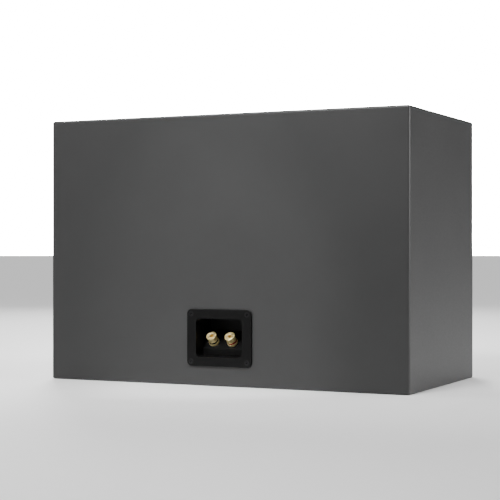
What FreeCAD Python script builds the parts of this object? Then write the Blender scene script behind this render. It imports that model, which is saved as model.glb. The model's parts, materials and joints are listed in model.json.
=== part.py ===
"""Wide bookshelf loudspeaker: a sealed box with two woofers, a dome tweeter, a cloth grille and
a recessed terminal cup. Sizes are in millimetres. X runs along the width, Y from the grille (-)
to the terminals (+) and Z up. The origin lies under the middle of the overall box."""
import FreeCAD, Part
import math
import os

V = FreeCAD.Vector

# Cabinet
WIDTH = 366.0
HEIGHT = 250.0
DEPTH = 187.0
PANEL_T = 15.0
BAFFLE_T = 18.0
EDGE_ROUND = 2.2
MITRE_TOLERANCE = 0.0005
BRACE_T = 12.0
BRACE_DEPTH = 73.0
BRACE_BEHIND_BAFFLE = 42.5
BRACE_HOLE_R = 16.0
BRACE_HOLES = 3

# Grille
GRILLE_INSET = 4.0
GRILLE_GAP = 1.5
GRILLE_FRAME_T = 10.0
GRILLE_ROUND = 2.5
CLOTH_T = 0.5
GRILLE_WOOFER_R = 68.0
GRILLE_TWEETER_R = 42.0
PEG_R = 2.6
PEG_COLLAR_R = 4.0
PEG_REACH = 9.5
PEG_ROOT = 5.0
PEG_CLEARANCE = 0.3
PEG_INSET = 20.0
SOCKET_WALL = 1.6
SOCKET_DEPTH = 12.0

# Drivers: places on the baffle, and the clearances round them
WOOFER_X = 95.0
WOOFER_Z = 98.0
TWEETER_Z = 186.0
GASKET_T = 0.8
REBATE_CLEARANCE = 0.4
CUTOUT_CLEARANCE = 1.0

# Woofer: radii, and depths behind the baffle face
FLANGE_R = 73.0
FLANGE_T = 4.0
BASKET_R = 62.5
BASKET_WALL = 2.6
LANDING_OUT_R = 65.3
LANDING_IN_R = 59.5
LANDING_S = 2.5
SPIDER_SEAT_R = 47.0
SPIDER_SEAT_S = 28.0
SPIDER_T = 0.8
BASKET_NECK_R = 44.0
BASKET_BACK_S = 46.0
BASKET_HOLE_R = 20.0
WINDOWS = 6
SURROUND_T = 0.8
ROLL_R = 5.0
CONE_R = 50.0
CONE_S = 3.0
CONE_T = 0.8
COIL_R = 12.8
FORMER_T = 0.4
WINDING_T = 0.6
WINDING_L = 12.0
NECK_S = 24.0
CAP_R = 17.5
CAP_RISE = 7.5
CAP_T = 0.6
COIL_GAP = 0.4
TOP_PLATE_R = 38.0
TOP_PLATE_T = 6.0
MAGNET_R = 42.0
MAGNET_HOLE_R = 17.0
MAGNET_T = 16.0
YOKE_T = 6.0
VENT_R = 4.0

# Tweeter
FACE_R = 47.0
FACE_T = 5.0
FACE_BOSS_T = 0.8
FACE_BOSS_R = 36.0
THROAT_R = 17.6
MOUTH_R = 34.0
THROAT_S = 3.6
DOME_R = 12.6
DOME_RISE = 5.0
DOME_T = 0.3
DOME_ROLL_R = 2.1
DOME_LIP = 2.6
DOME_LIP_T = 0.5
TWEETER_WINDING_T = 0.35
TWEETER_WINDING_L = 3.2
TWEETER_FORMER_T = 0.3
TWEETER_PLATE_R = 31.0
TWEETER_PLATE_T = 3.0
TWEETER_MAGNET_R = 34.0
TWEETER_MAGNET_HOLE_R = 17.0
TWEETER_MAGNET_T = 12.0
TWEETER_BACK_T = 4.0

# Driver screws: countersunk, with a hexagon socket
SCREW_HEAD_R = 3.4
SCREW_R = 1.7
SCREW_L = 16.0
SCREW_SOCKET = 2.5
WOOFER_SCREWS = 4
TWEETER_SCREWS = 4
TWEETER_SCREW_CIRCLE = 42.0

# Terminal cup: the flange, the recess, and its stepped floor
CUP_Z = 44.4
CUP_W = 66.0
CUP_H = 52.5
CUP_ROUND = 4.6
CUP_PROUD = 2.0
CUP_OPEN_W = 47.0
CUP_OPEN_H = 35.1
CUP_OPEN_ROUND = 4.0
CUP_WALL = 2.8
CUP_DEEP = 30.0
CUP_SHALLOW = 14.0
CUP_RAMP_TOP = 12.3
CUP_FIT = 0.5
CUP_GASKET_T = 0.8
CUP_GASKET_MARGIN = 1.0
CUP_SCREW_INSET = 4.4
CUP_SCREW_HEAD_R = 2.5
CUP_SCREW_R = 1.2
CUP_SCREW_L = 12.0
CUP_SCREW_SOCKET = 1.6

# Binding posts: they stand square on the ramp, so heights are measured along their own axis
POST_PITCH = 19.0
POST_SHIFT = 4.5
POST_FROM_FOOT = 7.43
COLLAR_R = 5.0
COLLAR_T = 2.4
RING_R = 4.6
RING_T = 1.6
NUT_ROOT_R = 4.5
NUT_RIM_R = 5.1
NUT_T = 6.0
STUD_R = 2.9
STUD_RECESS = 0.2
STUD_TAIL = 14.0
THREAD_CLEARANCE = 0.06
BANANA_R = 2.03
BANANA_DEPTH = 12.0
WIRE_HOLE_R = 0.7
TAG_T = 0.8
TAG_R = 5.0
TAG_TAIL = 10.0
TAG_TAIL_W = 4.0
LOCKNUT_ACROSS = 10.0
LOCKNUT_T = 4.5

# Crossover board, on the back panel beside the terminal cup
BOARD_X = -100.0
BOARD_Z = 155.0
BOARD_W = 104.0
BOARD_H = 70.0
BOARD_T = 1.6
STANDOFF_L = 8.4
STANDOFF_R = 3.0
STANDOFF_INSET = 5.0
BOARD_SCREW_R = 1.4
BOARD_SCREW_HEAD_T = 1.6
BOARD_SCREW_REACH = 9.0
INDUCTOR_R = 18.0
INDUCTOR_HOLE_R = 7.0
INDUCTOR_T = 15.0
CAPACITOR_R = 8.0
CAPACITOR_L = 30.0
RESISTOR_W = 6.4
RESISTOR_L = 22.0

# Wires and wadding
WIRE_R = 1.2
WIRE_SPACING = 5.0
TAG_STRIP_T = 2.0
TAG_STRIP_W = 16.0
TAG_STRIP_L = 9.0
TAB_L = 5.0
TAB_W = 3.0
TAB_T = 0.8
TAB_SPACING = 8.0
WADDING_T = 30.0
WADDING_DEPTH = 80.0
WADDING_GAP = 0.3
WADDING_MARGIN = 3.0

# Places worked out from the sizes above
GRILLE_T = GRILLE_GAP + GRILLE_FRAME_T + CLOTH_T
OVERALL_DEPTH = GRILLE_T + DEPTH + CUP_PROUD
Y_FRONT = GRILLE_T - OVERALL_DEPTH / 2
Y_BACK = Y_FRONT + DEPTH
Y_FLANGE = Y_BACK + CUP_PROUD
OUTSIDE = ((-WIDTH / 2, WIDTH / 2), (Y_FRONT, Y_BACK), (0.0, HEIGHT))
CAVITY = ((PANEL_T - WIDTH / 2, WIDTH / 2 - PANEL_T),
          (Y_FRONT + BAFFLE_T, Y_BACK - PANEL_T),
          (PANEL_T, HEIGHT - PANEL_T))
WOOFERS = {"left": (-WOOFER_X, WOOFER_Z), "right": (WOOFER_X, WOOFER_Z)}
TWEETER = (0.0, TWEETER_Z)
POSTS = {"red": POST_SHIFT - POST_PITCH / 2, "black": POST_SHIFT + POST_PITCH / 2}
BOARD_Y = CAVITY[1][1] - STANDOFF_L - BOARD_T

nodes = {}


# Helpers

def block(x0, x1, y0, y1, z0, z1):
    """Box between two limits on each axis."""
    return Part.makeBox(x1 - x0, y1 - y0, z1 - z0, V(x0, y0, z0))


def outline(start, *steps):
    """Closed wire in the XY plane. A step is a point, or two points for an arc through the first."""
    edges = []
    here = start
    for step in steps + (start,):
        if isinstance(step[0], tuple):
            middle, end = step
            edges.append(Part.Arc(V(*here), V(*middle), V(*end)).toShape())
        else:
            end = step
            edges.append(Part.LineSegment(V(*here), V(*end)).toShape())
        here = end
    return Part.Wire(edges)


def turned(centre, start, *steps):
    """Solid turned about a line along Y through centre (x, z). Its points are (radius, depth
    behind the baffle face)."""
    solid = Part.Face(outline(start, *steps)).revolve(V(0, 0, 0), V(0, 1, 0), 360)
    solid.translate(V(centre[0], Y_FRONT, centre[1]))
    return solid


def cap_middle(radius, rise, apex):
    """Point at half the radius of a spherical cap, so that an arc through it is a true sphere."""
    sphere = (radius ** 2 + rise ** 2) / (2 * rise)
    return (radius / 2, apex + sphere - math.sqrt(sphere ** 2 - (radius / 2) ** 2))


def bar(centre, radius, start, end):
    """Round bar along Y between two depths behind the baffle face."""
    return Part.makeCylinder(radius, end - start, V(centre[0], Y_FRONT + start, centre[1]), V(0, 1, 0))


def ring(centre, inner, outer, start, end):
    """Flat ring about a line along Y, between two depths behind the baffle face."""
    return bar(centre, outer, start, end).cut(bar(centre, inner, start, end))


def around(centre, radius, count):
    """Points (x, z) spaced evenly round a circle, the first half a step from +X."""
    step = 2 * math.pi / count
    return [(centre[0] + radius * math.cos((k + 0.5) * step),
             centre[1] + radius * math.sin((k + 0.5) * step)) for k in range(count)]


def rounded_block(width, height, corner, y0, y1, z_middle):
    """Block with its four edges along Y rounded, centred on x = 0 and z_middle."""
    solid = block(-width / 2, width / 2, y0, y1, z_middle - height / 2, z_middle + height / 2)
    along_y = [e for e in solid.Edges if abs(e.tangentAt(e.FirstParameter).y) > 0.9]
    return solid.makeFillet(corner, along_y)


def hexagon(across, length):
    """Hexagonal bar from the XZ plane along +Y."""
    corner = across / math.sqrt(3)
    turns = [k * math.pi / 3 for k in range(7)]
    wire = Part.makePolygon([V(corner * math.cos(a), 0, corner * math.sin(a)) for a in turns])
    return Part.Face(wire).extrude(V(0, length, 0))


def countersunk(head, shank, length, socket):
    """Countersunk screw along +Y, with its flat face on the XZ plane."""
    profile = outline((0, 0), (head, 0), (shank, head - shank), (shank, length), (0, length))
    solid = Part.Face(profile).revolve(V(0, 0, 0), V(0, 1, 0), 360)
    return solid.cut(hexagon(socket, head - shank))


def joined(shapes):
    """One solid made of several that touch or overlap."""
    return shapes[0].fuse(shapes[1:]).removeSplitter()


def keep(name, *solids):
    """Store the solids of one node."""
    nodes[name] = solids[0] if len(solids) == 1 else Part.makeCompound(list(solids))


# Cabinet

def corners(limits, axis, end):
    """The four corners, in order, of one face of a box."""
    across = [k for k in range(3) if k != axis]
    points = []
    for i, j in ((0, 0), (1, 0), (1, 1), (0, 1)):
        point = [limits[axis][end]] * 3
        point[across[0]] = limits[across[0]][i]
        point[across[1]] = limits[across[1]][j]
        points.append(V(*point))
    return points


def mitred_panel(axis, end, shell):
    """Board between one outer face of the box and the cavity face behind it. The tolerance keeps the
    cut sound where a mitre runs exactly through a rounded corner."""
    outer = corners(OUTSIDE, axis, end)
    inner = corners(CAVITY, axis, end)
    loops = [outer, inner]
    loops += [[outer[k - 1], outer[k], inner[k], inner[k - 1]] for k in range(4)]
    faces = [Part.Face(Part.makePolygon(loop + loop[:1])) for loop in loops]
    solid = Part.Solid(Part.Shell(faces))
    if solid.Volume < 0:
        solid.reverse()
    return shell.common([solid], MITRE_TOLERANCE)


def driver_screws():
    """Screws of all three drivers, flush with their flanges."""
    places = []
    for centre in WOOFERS.values():
        places += around(centre, (FLANGE_R + LANDING_OUT_R) / 2, WOOFER_SCREWS)
    places += around(TWEETER, TWEETER_SCREW_CIRCLE, TWEETER_SCREWS)
    solids = []
    for x, z in places:
        screw = countersunk(SCREW_HEAD_R, SCREW_R, SCREW_L, SCREW_SOCKET)
        screw.translate(V(x, Y_FRONT, z))
        solids.append(screw)
    return solids


def hole_of(screw, radius_at_face, radius, length):
    """Plain countersunk hole for a driver screw, without the socket in its head."""
    hole = countersunk(radius_at_face, radius, length, SCREW_SOCKET)
    hole = hole.fuse(hexagon(SCREW_SOCKET, radius_at_face - radius))
    hole.translate(screw.BoundBox.Center - V(0, screw.BoundBox.YLength / 2, 0))
    return hole


def peg_places():
    """Centres (x, z) of the four grille pegs."""
    x = WIDTH / 2 - PEG_INSET
    return [(sx * x, z) for sx in (-1, 1) for z in (PEG_INSET, HEIGHT - PEG_INSET)]


def make_cabinet(screw_holes, cup_screws):
    """Six mitred boards, the brace between top and bottom, and the grille sockets."""
    shell = block(*OUTSIDE[0], *OUTSIDE[1], *OUTSIDE[2])
    shell = shell.makeFillet(EDGE_ROUND, shell.Edges).Solids[0]
    names = {"left_panel": (0, 0), "right_panel": (0, 1), "front_baffle": (1, 0),
             "back_panel": (1, 1), "bottom_panel": (2, 0), "top_panel": (2, 1)}
    panels = {name: mitred_panel(axis, end, shell) for name, (axis, end) in names.items()}

    cuts = list(screw_holes)
    for centre in WOOFERS.values():
        cuts.append(bar(centre, FLANGE_R + REBATE_CLEARANCE, 0, FLANGE_T + GASKET_T))
        cuts.append(bar(centre, BASKET_R + CUTOUT_CLEARANCE, 0, BAFFLE_T))
    cuts.append(bar(TWEETER, FACE_R + REBATE_CLEARANCE, 0, FACE_T + GASKET_T))
    cuts.append(bar(TWEETER, FACE_BOSS_R + CUTOUT_CLEARANCE, 0, BAFFLE_T))
    socket_r = PEG_R + PEG_CLEARANCE + SOCKET_WALL
    cuts += [bar(place, socket_r, 0, SOCKET_DEPTH) for place in peg_places()]
    panels["front_baffle"] = panels["front_baffle"].cut(cuts)

    margin = 2 * (CUP_WALL + CUP_FIT)
    opening = rounded_block(CUP_OPEN_W + margin, CUP_OPEN_H + margin, CUP_OPEN_ROUND + CUP_WALL,
                            CAVITY[1][1], Y_BACK, CUP_Z)
    rebate = rounded_block(CUP_W - 2 * CUP_GASKET_MARGIN, CUP_H - 2 * CUP_GASKET_MARGIN, CUP_ROUND,
                           Y_BACK - CUP_GASKET_T, Y_BACK, CUP_Z)
    panels["back_panel"] = panels["back_panel"].cut([opening, rebate] + cup_screws)
    for name, solid in panels.items():
        keep(name, solid)

    y0 = CAVITY[1][0] + BRACE_BEHIND_BAFFLE
    brace = block(-BRACE_T / 2, BRACE_T / 2, y0, y0 + BRACE_DEPTH, *CAVITY[2])
    step = (CAVITY[2][1] - CAVITY[2][0]) / BRACE_HOLES
    for k in range(BRACE_HOLES):
        middle = V(-BRACE_T / 2, y0 + BRACE_DEPTH / 2, CAVITY[2][0] + (k + 0.5) * step)
        brace = brace.cut(Part.makeCylinder(BRACE_HOLE_R, BRACE_T, middle, V(1, 0, 0)))
    keep("centre_brace", brace)

    bore = PEG_R + PEG_CLEARANCE
    sockets = [bar(place, socket_r, 0, SOCKET_DEPTH).cut(bar(place, bore, 0, PEG_REACH + 1))
               for place in peg_places()]
    keep("grille_sockets", *sockets)


def make_wadding():
    """Two soft pads under the top panel, one each side of the brace."""
    x0 = BRACE_T / 2 + WADDING_MARGIN
    x1 = CAVITY[0][1] - WADDING_MARGIN
    z1 = CAVITY[2][1] - WADDING_GAP
    y1 = BOARD_Y - INDUCTOR_T
    pads = [block(min(s * x0, s * x1), max(s * x0, s * x1), y1 - WADDING_DEPTH, y1,
                  z1 - WADDING_T, z1) for s in (-1, 1)]
    keep("wadding", *pads)


# Grille

def make_grille():
    """Board frame with a round hole for each driver, cloth on its front, and four pegs."""
    y_back = Y_FRONT - GRILLE_GAP
    y_face = y_back - GRILLE_FRAME_T
    width = WIDTH - 2 * GRILLE_INSET
    height = HEIGHT - 2 * GRILLE_INSET
    pegs = [turned(place, (0, -GRILLE_GAP - PEG_ROOT), (PEG_R, -GRILLE_GAP - PEG_ROOT),
                   (PEG_R, -GRILLE_GAP), (PEG_COLLAR_R, -GRILLE_GAP), (PEG_COLLAR_R, 0), (PEG_R, 0),
                   (PEG_R, PEG_REACH - 1), (PEG_R - 1, PEG_REACH), (0, PEG_REACH))
            for place in peg_places()]
    frame = rounded_block(width - 2 * CLOTH_T, height - 2 * CLOTH_T, GRILLE_ROUND, y_face, y_back,
                          HEIGHT / 2)
    front = [e for e in frame.Edges if e.BoundBox.YMax < y_face + 0.01]
    frame = frame.makeFillet(GRILLE_ROUND - 0.1, front)
    holes = [bar(c, GRILLE_WOOFER_R, -GRILLE_T, 0) for c in WOOFERS.values()]
    holes.append(bar(TWEETER, GRILLE_TWEETER_R, -GRILLE_T, 0))
    keep("grille_frame", frame.cut(holes + pegs))
    keep("grille_cloth", rounded_block(width - 2 * GRILLE_ROUND, height - 2 * GRILLE_ROUND,
                                       GRILLE_ROUND, y_face - CLOTH_T, y_face, HEIGHT / 2))
    keep("grille_pegs", *pegs)


# Woofers

def cone_depth(radius):
    """Depth of the cone's front face at a radius."""
    slope = (NECK_S - CONE_S) / (CONE_R - COIL_R)
    return NECK_S - (radius - COIL_R) * slope


def make_basket(centre, screw_holes):
    """Cast frame: flange, surround landing, spider seat and windows round its side."""
    back_inside = BASKET_BACK_S - 2.0
    neck_inside = BASKET_NECK_R - BASKET_WALL
    wall_top = 8.0
    solid = turned(centre, (FLANGE_R, 0), (FLANGE_R, FLANGE_T), (BASKET_R, FLANGE_T),
                   (BASKET_R, wall_top + 1), (SPIDER_SEAT_R + BASKET_WALL, SPIDER_SEAT_S - 1),
                   (SPIDER_SEAT_R + BASKET_WALL, SPIDER_SEAT_S + 2),
                   (BASKET_NECK_R, SPIDER_SEAT_S + 4), (BASKET_NECK_R, BASKET_BACK_S),
                   (BASKET_HOLE_R, BASKET_BACK_S), (BASKET_HOLE_R, back_inside),
                   (neck_inside, back_inside), (neck_inside, SPIDER_SEAT_S),
                   (SPIDER_SEAT_R, SPIDER_SEAT_S), (SPIDER_SEAT_R, SPIDER_SEAT_S - 3),
                   (LANDING_IN_R, wall_top), (LANDING_IN_R, LANDING_S),
                   (LANDING_OUT_R, LANDING_S), (LANDING_OUT_R, 0))
    windows = []
    for width, start, end in ((30.0, wall_top + 2, SPIDER_SEAT_S - 3),
                              (20.0, SPIDER_SEAT_S + 5, back_inside - 2)):
        for k in range(WINDOWS):
            window = block(BASKET_HOLE_R + 8, FLANGE_R, Y_FRONT + start, Y_FRONT + end,
                           -width / 2, width / 2)
            window.rotate(V(0, 0, 0), V(0, 1, 0), (k + 0.5) * 360 / WINDOWS)
            window.translate(V(centre[0], 0, centre[1]))
            windows.append(window)
    return solid.cut(windows + screw_holes)


def make_surround(centre):
    """Rubber half-roll from the landing to the cone's edge, with a flat lip on each."""
    out = CONE_R + 2 * ROLL_R
    top = LANDING_S - SURROUND_T
    lip = CONE_R - 4.0
    middle = CONE_R + ROLL_R
    return turned(centre, (LANDING_OUT_R - 0.3, top), (out, top),
                  ((middle, top - ROLL_R), (CONE_R, top)),
                  (lip, cone_depth(lip) - SURROUND_T), (lip, cone_depth(lip)),
                  (CONE_R, cone_depth(CONE_R)), (CONE_R + SURROUND_T, LANDING_S),
                  ((middle, LANDING_S - ROLL_R), (out - SURROUND_T, LANDING_S)),
                  (LANDING_OUT_R - 0.3, LANDING_S))


def make_cone(centre):
    """Cone with a short collar glued round the voice coil former."""
    return turned(centre, (CONE_R, CONE_S), (COIL_R, NECK_S), (COIL_R, NECK_S + 3),
                  (COIL_R + CONE_T, NECK_S + 3), (COIL_R + CONE_T, cone_depth(COIL_R) + CONE_T),
                  (CONE_R, CONE_S + CONE_T))


def make_dust_cap(centre):
    """Shallow dome glued to the cone over the voice coil."""
    rim = cone_depth(CAP_R)
    inner = CAP_R - CAP_T
    inner_rim = cone_depth(inner)
    apex = rim - CAP_RISE
    inner_apex = apex + CAP_T
    outer_arc = (cap_middle(CAP_R, CAP_RISE, apex), (CAP_R, rim))
    inner_arc = (cap_middle(inner, inner_rim - inner_apex, inner_apex), (0, inner_apex))
    return turned(centre, (0, apex), outer_arc, (inner, inner_rim), inner_arc)


def make_spider(centre):
    """Corrugated disc between the voice coil former and its seat on the basket."""
    top = SPIDER_SEAT_S - SPIDER_T
    seat = BASKET_NECK_R - BASKET_WALL
    waves = 4
    pitch = (seat - COIL_R - 4) / waves
    ridges = [(seat - k * pitch / 2, -1.2 if k % 2 else 0.0) for k in range(2 * waves + 1)]
    upper = [(r, top + lift) for r, lift in ridges]
    lower = [(r, top + SPIDER_T + lift) for r, lift in reversed(ridges)]
    return turned(centre, (SPIDER_SEAT_R - 0.3, top), *upper, (COIL_R, top),
                  (COIL_R, top + SPIDER_T), *lower, (SPIDER_SEAT_R - 0.3, top + SPIDER_T))


def make_woofer(side, centre, screw_holes):
    """One woofer: fixed frame and motor, and the parts that move with its cone."""
    name = "woofer_" + side + "_"
    plate_end = BASKET_BACK_S + TOP_PLATE_T
    magnet_end = plate_end + MAGNET_T
    yoke_end = magnet_end + YOKE_T
    winding_start = (BASKET_BACK_S + plate_end - WINDING_L) / 2
    pole_r = COIL_R - FORMER_T - COIL_GAP
    keep(name + "basket", make_basket(centre, screw_holes))
    keep(name + "surround", make_surround(centre))
    keep(name + "cone", make_cone(centre))
    keep(name + "dust_cap", make_dust_cap(centre))
    keep(name + "spider", make_spider(centre))
    former = ring(centre, COIL_R - FORMER_T, COIL_R, NECK_S - 2, winding_start + WINDING_L)
    winding = ring(centre, COIL_R, COIL_R + WINDING_T, winding_start, winding_start + WINDING_L)
    keep(name + "voice_coil", joined([former, winding]))
    gap_r = COIL_R + WINDING_T + COIL_GAP
    keep(name + "top_plate", ring(centre, gap_r, TOP_PLATE_R, BASKET_BACK_S, plate_end))
    keep(name + "magnet", ring(centre, MAGNET_HOLE_R, MAGNET_R, plate_end, magnet_end))
    yoke = joined([bar(centre, TOP_PLATE_R, magnet_end, yoke_end),
                   bar(centre, pole_r, BASKET_BACK_S, yoke_end)])
    keep(name + "yoke", yoke.cut(bar(centre, VENT_R, BASKET_BACK_S, yoke_end)))


# Tweeter

def make_tweeter(screw_holes):
    """Faceplate with a shallow horn, soft dome with its roll and coil, and the motor behind."""
    seat = FACE_T + FACE_BOSS_T
    roll_out = DOME_R + 2 * DOME_ROLL_R
    bend = ((MOUTH_R + THROAT_R) / 2 - 2.0, THROAT_S / 2 + 0.4)
    face = turned(TWEETER, (FACE_R, 0), (FACE_R, FACE_T), (FACE_BOSS_R, FACE_T), (FACE_BOSS_R, seat),
                  (roll_out + DOME_LIP + 1, seat), (roll_out + DOME_LIP + 1, FACE_T), (THROAT_R, FACE_T),
                  (THROAT_R, THROAT_S), (bend, (MOUTH_R, 0)))
    keep("tweeter_faceplate", face.cut(screw_holes))

    inner = DOME_R - DOME_T
    apex = seat - DOME_RISE
    inner_apex = apex + DOME_T
    keep("tweeter_dome", turned(TWEETER, (0, apex), (cap_middle(DOME_R, DOME_RISE, apex), (DOME_R, seat)),
                                (inner, seat),
                                (cap_middle(inner, seat - inner_apex, inner_apex), (0, inner_apex))))
    middle = DOME_R + DOME_ROLL_R
    top = seat - DOME_LIP_T
    keep("tweeter_surround", turned(TWEETER, (DOME_R, seat), (DOME_R, top),
                                    ((middle, top - DOME_ROLL_R), (roll_out, top)),
                                    (roll_out + DOME_LIP, top), (roll_out + DOME_LIP, seat),
                                    (roll_out - DOME_LIP_T, seat),
                                    ((middle, seat - DOME_ROLL_R), (DOME_R + DOME_LIP_T, seat))))
    former_r = DOME_R - DOME_T
    coil_end = seat + TWEETER_WINDING_L
    former = ring(TWEETER, former_r - TWEETER_FORMER_T, former_r, seat, coil_end)
    former = former.fuse(ring(TWEETER, former_r - TWEETER_FORMER_T, DOME_R, seat, seat + 0.1))
    winding = ring(TWEETER, former_r, former_r + TWEETER_WINDING_T, seat + 0.1, coil_end)
    keep("tweeter_voice_coil", joined([former, winding]))
    plate_end = seat + TWEETER_PLATE_T
    magnet_end = plate_end + TWEETER_MAGNET_T
    back_end = magnet_end + TWEETER_BACK_T
    gap_r = former_r + TWEETER_WINDING_T + COIL_GAP
    pole_r = former_r - TWEETER_FORMER_T - COIL_GAP
    keep("tweeter_top_plate", ring(TWEETER, gap_r, TWEETER_PLATE_R, seat, plate_end))
    keep("tweeter_magnet", ring(TWEETER, TWEETER_MAGNET_HOLE_R, TWEETER_MAGNET_R, plate_end, magnet_end))
    keep("tweeter_back_plate", joined([bar(TWEETER, TWEETER_PLATE_R, magnet_end, back_end),
                                       bar(TWEETER, pole_r, seat + 0.8, back_end)]))
    return plate_end


def make_gaskets(screw_holes):
    """Foam rings between each driver and the floor of its rebate."""
    rings = [ring(c, BASKET_R + CUTOUT_CLEARANCE, FLANGE_R, FLANGE_T, FLANGE_T + GASKET_T)
             for c in WOOFERS.values()]
    rings.append(ring(TWEETER, FACE_BOSS_R + CUTOUT_CLEARANCE, FACE_R, FACE_T, FACE_T + GASKET_T))
    keep("driver_gaskets", *[r.cut(screw_holes) for r in rings])


# Terminal cup and binding posts

def cup_floor(offset):
    """Side view of the recess, as points (y, z). The offset moves it outwards by a wall."""
    top = CUP_Z + CUP_OPEN_H / 2
    bottom = CUP_Z - CUP_OPEN_H / 2
    deep = Y_FLANGE - CUP_DEEP
    shallow = Y_FLANGE - CUP_SHALLOW
    knee = top - CUP_RAMP_TOP
    foot = knee - (shallow - deep)
    drop = offset * math.tan(math.radians(22.5))
    return [(Y_FLANGE, top + offset), (deep - offset, top + offset), (deep - offset, knee - drop),
            (shallow - offset, foot - drop), (shallow - offset, bottom - offset),
            (Y_FLANGE, bottom - offset)]


def cup_block(offset):
    """Solid of the recess, or of the recess and its wall, with its corners rounded."""
    width = CUP_OPEN_W / 2 + offset
    points = [V(-width, y, z) for y, z in cup_floor(offset)]
    side = Part.Face(Part.makePolygon(points + points[:1])).extrude(V(2 * width, 0, 0))
    sleeve = rounded_block(2 * width, CUP_OPEN_H + 2 * offset, CUP_OPEN_ROUND + offset,
                           Y_FLANGE - CUP_DEEP - offset, Y_FLANGE, CUP_Z)
    return side.common(sleeve)


def post_base(x):
    """Point on the ramp where a post's axis meets it."""
    y, z = cup_floor(0)[3]
    step = POST_FROM_FOOT / math.sqrt(2)
    return V(x, y - step, z + step)


def on_post(solid, x):
    """Move a solid made along +Z at the origin to the post at x, square to the ramp."""
    solid.rotate(V(0, 0, 0), V(1, 0, 0), -45)
    solid.translate(post_base(x))
    return solid


def spun(start, *steps):
    """Solid turned about Z. Its points are (radius, height)."""
    solid = Part.Face(outline(start, *steps)).revolve(V(0, 0, 0), V(0, 1, 0), 360)
    solid.rotate(V(0, 0, 0), V(1, 0, 0), 90)
    return solid


def disc(outer, inner, start, end):
    """Flat ring about Z between two heights."""
    solid = Part.makeCylinder(outer, end - start, V(0, 0, start))
    return solid.cut(Part.makeCylinder(inner, end - start, V(0, 0, start)))


def make_posts():
    """Stud, coloured ring and nut of each post, with its tag and lock nut inside the box."""
    bore = STUD_R + THREAD_CLEARANCE
    ring_top = COLLAR_T + RING_T
    top = ring_top + NUT_T
    tip = top - STUD_RECESS
    studs, locknuts, tags = [], [], []
    for colour, x in POSTS.items():
        stud = spun((0, -STUD_TAIL), (STUD_R, -STUD_TAIL), (STUD_R, 0), (COLLAR_R - 0.3, 0),
                    (COLLAR_R, 0.3), (COLLAR_R, COLLAR_T), (STUD_R, COLLAR_T), (STUD_R, tip), (0, tip))
        socket = spun((0, tip - BANANA_DEPTH), (BANANA_R, tip - BANANA_DEPTH), (BANANA_R, tip - 0.3),
                      (BANANA_R + 0.3, tip), (0, tip))
        wire_hole = Part.makeCylinder(WIRE_HOLE_R, 2 * COLLAR_R, V(-COLLAR_R, 0, COLLAR_T + RING_T / 2),
                                      V(1, 0, 0))
        stud = on_post(stud.cut([socket, wire_hole]), x)
        keep("post_stud_" + colour, stud)
        studs.append(stud)
        keep("post_ring_" + colour, on_post(disc(RING_R, bore, COLLAR_T, ring_top), x))
        nut = spun((bore, ring_top), (NUT_ROOT_R, ring_top), (NUT_ROOT_R, top - 1.6), (NUT_RIM_R, top - 1.0),
                   (NUT_RIM_R, top - 0.2), (NUT_RIM_R - 0.2, top), (bore + 0.6, top), (bore, top - 0.6))
        keep("post_nut_" + colour, on_post(nut, x))

        under = -CUP_WALL
        tag = disc(TAG_R, STUD_R, under - TAG_T, under)
        tail = Part.makeBox(TAG_TAIL_W, TAG_TAIL, TAG_T, V(-TAG_TAIL_W / 2, -TAG_TAIL, under - TAG_T))
        tail = tail.cut(Part.makeCylinder(STUD_R, TAG_T, V(0, 0, under - TAG_T)))
        tags.append(on_post(joined([tag, tail]), x))
        nut_top = under - TAG_T
        locknut = hexagon(LOCKNUT_ACROSS, LOCKNUT_T)
        locknut.rotate(V(0, 0, 0), V(1, 0, 0), 90)
        locknut.translate(V(0, 0, nut_top - LOCKNUT_T))
        locknut = locknut.cut(Part.makeCylinder(STUD_R, LOCKNUT_T, V(0, 0, nut_top - LOCKNUT_T)))
        locknuts.append(on_post(locknut, x))
    keep("post_locknuts", *locknuts)
    keep("post_tags", *tags)
    return studs


def cup_screw_places():
    """Centres (x, z) of the four screws in the cup's flange."""
    x = CUP_W / 2 - CUP_SCREW_INSET
    z = CUP_H / 2 - CUP_SCREW_INSET
    return [(sx * x, CUP_Z + sz * z) for sx in (-1, 1) for sz in (-1, 1)]


def make_cup_screws():
    """Countersunk screws, flush with the flange."""
    screws, holes = [], []
    for x, z in cup_screw_places():
        screw = countersunk(CUP_SCREW_HEAD_R, CUP_SCREW_R, CUP_SCREW_L, CUP_SCREW_SOCKET)
        hole = screw.fuse(hexagon(CUP_SCREW_SOCKET, CUP_SCREW_HEAD_R - CUP_SCREW_R))
        for solid, group in ((screw, screws), (hole, holes)):
            solid.rotate(V(0, 0, 0), V(0, 0, 1), 180)
            solid.translate(V(x, Y_FLANGE, z))
            group.append(solid)
    keep("cup_screws", *screws)
    return holes


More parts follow.
